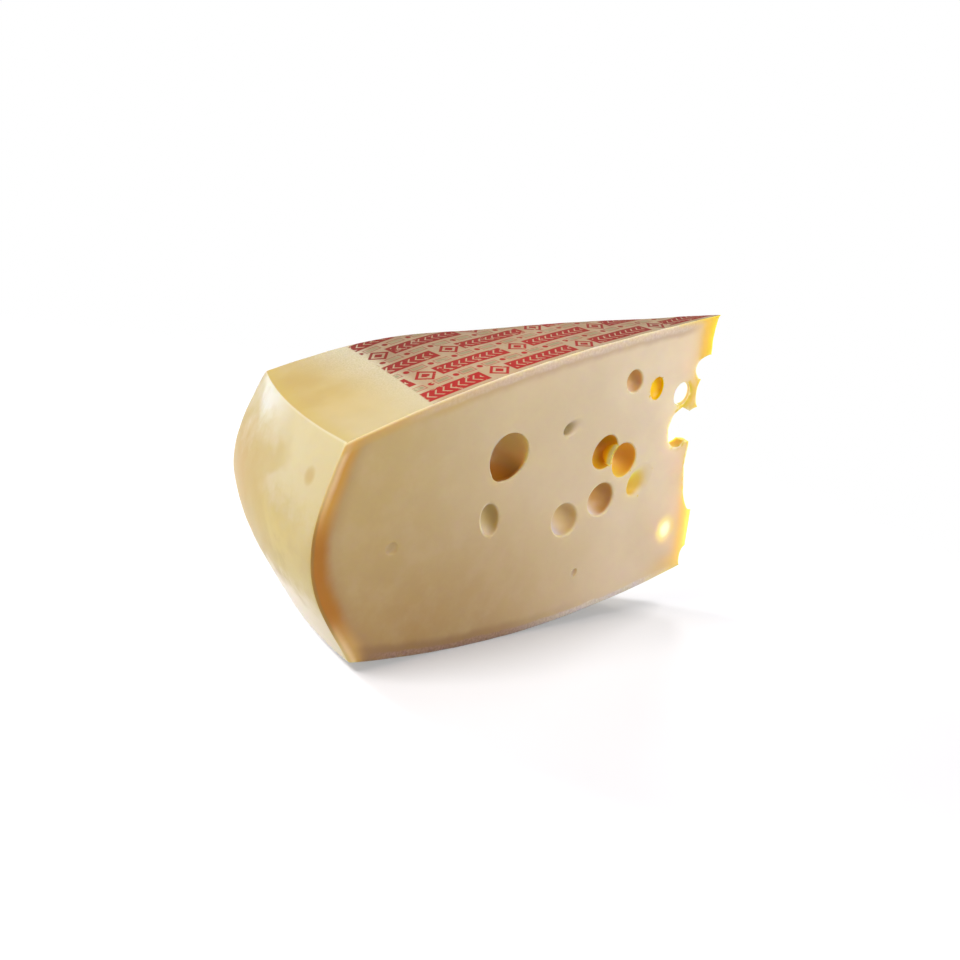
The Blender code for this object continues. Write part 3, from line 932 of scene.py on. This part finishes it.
    g.put(g.shader.inputs["Base Color"], color)
    g.shader.inputs["Roughness"].default_value = 0.42
    g.shader.inputs["Subsurface Weight"].default_value = 1.0
    g.shader.inputs["Subsurface Radius"].default_value = (1.0, 0.86, 0.16)
    g.shader.inputs["Subsurface Scale"].default_value = 0.009
    g.shader.inputs["Specular IOR Level"].default_value = 0.25
    relief = g.plus(cloud, g.times(grain, 0.25))
    raised = g.bump(lip, 1.0, 0.0008)
    g.put(g.shader.inputs["Normal"], g.bump(relief, 0.10, 0.0012, raised))
    return g.material


def stamped_pattern(g, x, near_gap, wear):
    """Masks of a plain stamped pattern: red shapes, and grey-green dashes between its rows."""
    row_place = g.math("DIVIDE", g.plus(near_gap, 0.003), ROW_PITCH)
    row = g.math("FLOOR", row_place)
    across = g.times(g.minus(g.math("FRACT", row_place), 0.5), ROW_PITCH * 1000)
    off_centre = g.math("ABSOLUTE", across)
    shift = g.times(g.math("MODULO", row, 2.0), 0.5)
    along = g.times(g.math("FRACT", g.plus(g.math("DIVIDE", x, REPEAT), shift)), REPEAT * 1000)

    def below(value, limit, blur=0.45):
        return g.remap(value, limit - blur, limit + blur, 1, 0)

    def both(a, b):
        return g.times(a, b)

    def between(value, low, high):
        centre = (low + high) / 2
        return below(g.math("ABSOLUTE", g.minus(value, centre)), (high - low) / 2)

    def unless(a, b):
        return both(a, g.minus(1.0, b))

    leaning = g.plus(along, g.times(off_centre, CHEVRON_LEAN))
    slant = g.math("FRACT", g.math("DIVIDE", leaning, CHEVRON_PITCH))
    stroke = below(g.times(slant, CHEVRON_PITCH), CHEVRON_STROKE)
    chevrons = both(below(off_centre, CHEVRON_HALF_HEIGHT), between(along, *CHEVRON_SPAN))
    bar = both(between(along, *BAR_SPAN), below(off_centre, BAR_HALF_HEIGHT))
    bar = unless(bar, both(stroke, chevrons))
    beside = g.math("ABSOLUTE", g.minus(along, LOZENGE_CENTRE))
    ring = g.plus(beside, off_centre)
    outer, middle, inner = (below(ring, limit) for limit in LOZENGE_RINGS)
    lozenge = unless(outer, unless(middle, inner))
    red = g.math("MAXIMUM", bar, lozenge)
    beside_seam = g.minus(ROW_PITCH * 500, off_centre)
    tick = g.times(g.math("FRACT", g.math("DIVIDE", along, DASH_PITCH)), DASH_PITCH)
    dot = g.plus(g.math("POWER", g.minus(tick, DOT_PLACE), 2.0),
                 g.math("POWER", beside_seam, 2.0))
    red = g.math("MAXIMUM", red, g.remap(dot, 3.0, 7.5, 1, 0))
    outline = unless(both(between(tick, 0.8, 14.2), below(beside_seam, 3.4)),
                     both(between(tick, 1.9, 13.1), below(beside_seam, 2.3)))
    red = g.math("MAXIMUM", red, both(outline, 0.6))
    dash = both(between(tick, 2.6, 12.4), below(beside_seam, 1.7))
    start = g.plus(x, g.times(near_gap, PRINT_SLANT))
    keep = both(g.remap(start, PRINT_START, PRINT_START - 0.0015), g.remap(wear, 0.30, 0.42))
    return both(red, keep), both(dash, keep)


def rind_noises(g, place):
    """Slow and quick unevenness of the rind's colour. Also gives the rind its relief."""
    broad = g.noise(place, 13, 3, 0.55)
    cloud = g.noise(place, 42, 4, 0.6)
    grain = g.noise(place, 300, 4, 0.65)
    relief = g.plus(cloud, g.times(grain, 0.3))
    g.put(g.shader.inputs["Normal"], g.bump(relief, 0.12, 0.0012))
    return broad, cloud


def rim_material():
    """Smooth cream rind of the rim and the underside."""
    g = Graph("rim_rind")
    place, (_, near_gap, height) = g.attribute("place")
    _, (rim_gap, top_gap, _) = g.attribute("rind_gap")
    broad, cloud = rind_noises(g, place)
    color = g.mix(g.remap(broad, 0.35, 0.62), (180, 152, 66), (197, 173, 92))
    color = g.tint(color, g.remap(cloud, 0.45, 0.70), 0.6, 176, 146, 74)
    level = g.plus(height, g.times(g.minus(cloud, 0.5), 0.05))
    far = g.remap(near_gap, 0.050, 0.120)
    # Painted highlight: paler towards the top of the rim
    color = g.tint(color, g.remap(level, 0.010, 0.045), 0.65, 212, 200, 168)
    tan = g.times(g.remap(level, 0.065, 0.030), far)
    color = g.tint(color, tan, 0.85, 182, 143, 46)
    # Painted reflection of the white floor: paler lower down on the rim
    low = g.mix(far, (242, 228, 204), (255, 251, 244))
    color = g.mix(g.times(g.remap(level, -0.015, -0.045), 0.85), color, low)
    # Painted highlight near the top of the rim, towards the far cut
    painted_highlight_top_far = g.times(g.remap(level, 0.052, 0.076), g.remap(near_gap, 0.060, 0.120))
    color = g.tint(color, painted_highlight_top_far, 0.85, 226, 223, 212)
    color = g.tint(color, g.remap(near_gap, 0.050, 0.004), 0.45, 208, 190, 138)
    spot = g.plus(g.math("POWER", g.minus(near_gap, 0.021), 2.0),
                  g.math("POWER", g.minus(height, 0.053), 2.0))
    spot = g.remap(g.times(spot, 1e6), 46.0, 0.0)
    spot = g.times(spot, g.remap(cloud, 0.30, 0.60, 0.4, 1))
    color = g.tint(color, spot, 0.55, 184, 146, 70)
    patches = g.noise(place, 21, 2, 0.45, 0.6)
    patchy = g.times(g.remap(patches, 0.48, 0.60), g.remap(near_gap, 0.030, 0.070))
    patchy = g.times(patchy, g.remap(height, -0.050, -0.010))
    color = g.tint(color, patchy, 0.55, 184, 156, 74)
    # Painted highlight along the corner between the rim and the top
    corner = g.remap(g.math("MAXIMUM", top_gap, rim_gap), 0.0004, 0.0012, 1, 0)
    color = g.tint(color, corner, 0.4, 222, 210, 180)
    g.put(g.shader.inputs["Base Color"], color)
    g.shader.inputs["Roughness"].default_value = 0.42
    g.shader.inputs["Specular IOR Level"].default_value = 0.35
    g.shader.inputs["Coat Weight"].default_value = 0.15
    g.shader.inputs["Coat Roughness"].default_value = 0.20
    g.shader.inputs["Subsurface Weight"].default_value = 1.0
    g.shader.inputs["Subsurface Radius"].default_value = (1.0, 0.70, 0.25)
    g.shader.inputs["Subsurface Scale"].default_value = 0.003
    return g.material


def top_material():
    """Matt cloth-like rind of the top, which carries the stamped pattern."""
    g = Graph("top_rind")
    place, (x, near_gap, _) = g.attribute("place")
    _, (rim_gap, _, _) = g.attribute("rind_gap")
    broad, cloud = rind_noises(g, place)
    weave = g.noise(place, 900, 2, 0.7)
    color = g.mix(g.remap(broad, 0.35, 0.65), (184, 157, 97), (196, 172, 118))
    cloth = g.mix(g.remap(weave, 0.3, 0.7), (186, 174, 144), (208, 197, 169))
    color = g.mix(g.remap(x, 0.350, 0.290), color, cloth)
    color = g.tint(color, g.remap(near_gap, 0.060, 0.004), 0.35, 206, 195, 164)
    start = g.plus(x, g.times(near_gap, PRINT_SLANT))
    printed = g.remap(start, PRINT_START + 0.002, PRINT_START - 0.012)
    smudge = g.times(printed, g.remap(cloud, 0.2, 0.7, 0.60, 0.85))
    # Painted shade: darker away from the near cut and towards the thin edge
    painted_shade_away = g.math("MAXIMUM", g.remap(near_gap, 0.0, 0.10), g.remap(x, 0.28, 0.06))
    color = g.mix(smudge, color, g.mix(painted_shade_away, (171, 138, 104), (134, 104, 76)))
    by_corner = g.remap(g.plus(rim_gap, g.times(cloud, 0.006)), 0.004, 0.016, 1, 0)
    color = g.tint(color, by_corner, 0.5, 192, 166, 92)
    # Painted highlight along the corner with the rim
    corner = g.remap(rim_gap, 0.0003, 0.0012, 1, 0)
    color = g.tint(color, corner, 0.5, 212, 200, 168)
    wear = g.noise(place, 130, 3, 0.7)
    red, dash = stamped_pattern(g, x, near_gap, wear)
    color = g.tint(color, dash, 0.65, 126, 120, 88)
    # Red print, darker with the painted shade away from the near cut
    stamp = g.mix(painted_shade_away, (164, 12, 20), (120, 16, 14))
    color = g.mix(g.times(red, 0.95), color, stamp)
    g.put(g.shader.inputs["Base Color"], color)
    g.shader.inputs["Roughness"].default_value = 0.70
    g.shader.inputs["Specular IOR Level"].default_value = 0.15
    g.shader.inputs["Subsurface Weight"].default_value = 0.5
    g.shader.inputs["Subsurface Radius"].default_value = (1.0, 0.70, 0.25)
    g.shader.inputs["Subsurface Scale"].default_value = 0.0012
    return g.material


def add_floor():
    """Pale floor that fades into the white surround."""
    mesh = bpy.data.meshes.new("floor")
    bm = bmesh.new()
    bmesh.ops.create_circle(bm, cap_ends=True, segments=96, radius=FLOOR_RADIUS)
    bm.to_mesh(mesh)
    bm.free()
    floor = link("floor", mesh)
    g = Graph("floor")
    g.shader.inputs["Roughness"].default_value = 0.8
    seen = g.node("ShaderNodeLightPath")
    direct = g.math("MAXIMUM", seen.outputs["Is Camera Ray"], seen.outputs["Is Glossy Ray"])
    g.put(g.shader.inputs["Base Color"], g.mix(direct, (185.8, 185.8, 189.2), (197.3, 195.7, 198.8)))
    glow = g.times(direct, 0.33)
    g.shader.inputs["Emission Color"].default_value = (1, 1, 1, 1)
    g.put(g.shader.inputs["Emission Strength"], glow)
    coordinates = g.node("ShaderNodeTexCoord")
    length = g.node("ShaderNodeVectorMath", operation="LENGTH")
    g.links.new(coordinates.outputs["Object"], length.inputs[0])
    clear = g.node("ShaderNodeBsdfTransparent")
    blend = g.node("ShaderNodeMixShader")
    g.put(blend.inputs[0], g.remap(length.outputs["Value"], *FLOOR_FADE))
    g.links.new(g.shader.outputs[0], blend.inputs[1])
    g.links.new(clear.outputs[0], blend.inputs[2])
    output = g.nodes["Material Output"]
    g.links.new(blend.outputs[0], output.inputs["Surface"])
    mesh.materials.append(g.material)
    return floor


def add_light(name, place, aim, size, power):
    """Square softbox that faces a point."""
    data = bpy.data.lights.new(name, "AREA")
    data.shape = "SQUARE"
    data.size = size
    data.energy = power
    light = link(name, data)
    light.location = place
    light.rotation_euler = (Vector(aim) - Vector(place)).to_track_quat("-Z", "Y").to_euler()
    return light


def add_world():
    """White surround, dimmer as a light than it looks."""
    world = bpy.data.worlds.new("surround")
    world.use_nodes = True
    nodes = world.node_tree.nodes
    links = world.node_tree.links
    background = nodes["Background"]
    background.inputs["Color"].default_value = (1, 1, 1, 1)
    seen = nodes.new("ShaderNodeLightPath")
    strength = nodes.new("ShaderNodeMapRange")
    strength.inputs["To Min"].default_value = 0.22
    strength.inputs["To Max"].default_value = 1.0
    direct = nodes.new("ShaderNodeMath")
    direct.operation = "MAXIMUM"
    links.new(seen.outputs["Is Camera Ray"], direct.inputs[0])
    links.new(seen.outputs["Is Glossy Ray"], direct.inputs[1])
    links.new(direct.outputs[0], strength.inputs["Value"])
    links.new(strength.outputs[0], background.inputs["Strength"])
    bpy.context.scene.world = world


def add_camera():
    """Camera at the photo's place, rolled as the photo is."""
    data = bpy.data.cameras.new("camera")
    data.sensor_width = CAMERA_SENSOR
    data.lens = CAMERA_LENS
    camera = link("camera", data)
    place = Vector(CAMERA_PLACE)
    aim = (Vector(CAMERA_AIM) - place).to_track_quat("-Z", "Y").to_matrix().to_4x4()
    camera.matrix_world = Matrix.Translation(place) @ aim @ Matrix.Rotation(CAMERA_ROLL, 4, "Z")
    bpy.context.scene.camera = camera


def main():
    bpy.context.scene.view_settings.view_transform = "Standard"
    materials = [rim_material(), paste_material(), top_material()]
    wedge = add_block(materials)
    apply_modifiers(wedge)
    cut_eyes(wedge, materials)
    store_places(wedge.data)
    rest_on_floor(wedge)
    wedge.data.shade_smooth()
    wedge.data.set_sharp_from_angle(angle=math.radians(55))
    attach(wedge, "root")
    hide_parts("cheese_wedge")
    floor = add_floor()
    add_world()
    middle = (0.0, 0.0, 0.12)
    beside_wedge = (0.0, -0.05, 0.0)
    wedge_only = bpy.data.collections.new("wedge_only")
    wedge_only.objects.link(wedge)
    floor_only = bpy.data.collections.new("floor_only")
    floor_only.objects.link(floor)
    for_wedge = [
        add_light("key", (-1.25, 0.05, 0.85), middle, 0.9, 18),
        add_light("overhead", (-0.2, 0.15, 1.5), middle, 0.9, 3),
        add_light("right", (0.65, -1.15, 1.1), middle, 0.5, 16),
        add_light("behind", (0.50, 0.70, 0.35), (0.19, 0.02, 0.14), 0.4, 12),
    ]
    for_wedge[-1].visible_glossy = False
    for light in for_wedge:
        light.light_linking.receiver_collection = wedge_only
    for_floor = [
        add_light("floor_left", (-1.05, -0.05, 1.0), beside_wedge, 0.30, 18.5),
        add_light("floor_back_left", (-1.15, 1.10, 1.0), beside_wedge, 0.40, 20),
        add_light("floor_back_right", (1.00, 1.20, 1.0), beside_wedge, 0.40, 12),
        add_light("floor_right", (0.75, 0.25, 1.0), beside_wedge, 0.30, 7.2),
    ]
    for light in for_floor:
        light.light_linking.receiver_collection = floor_only
        light.visible_glossy = False
    add_camera()


main()
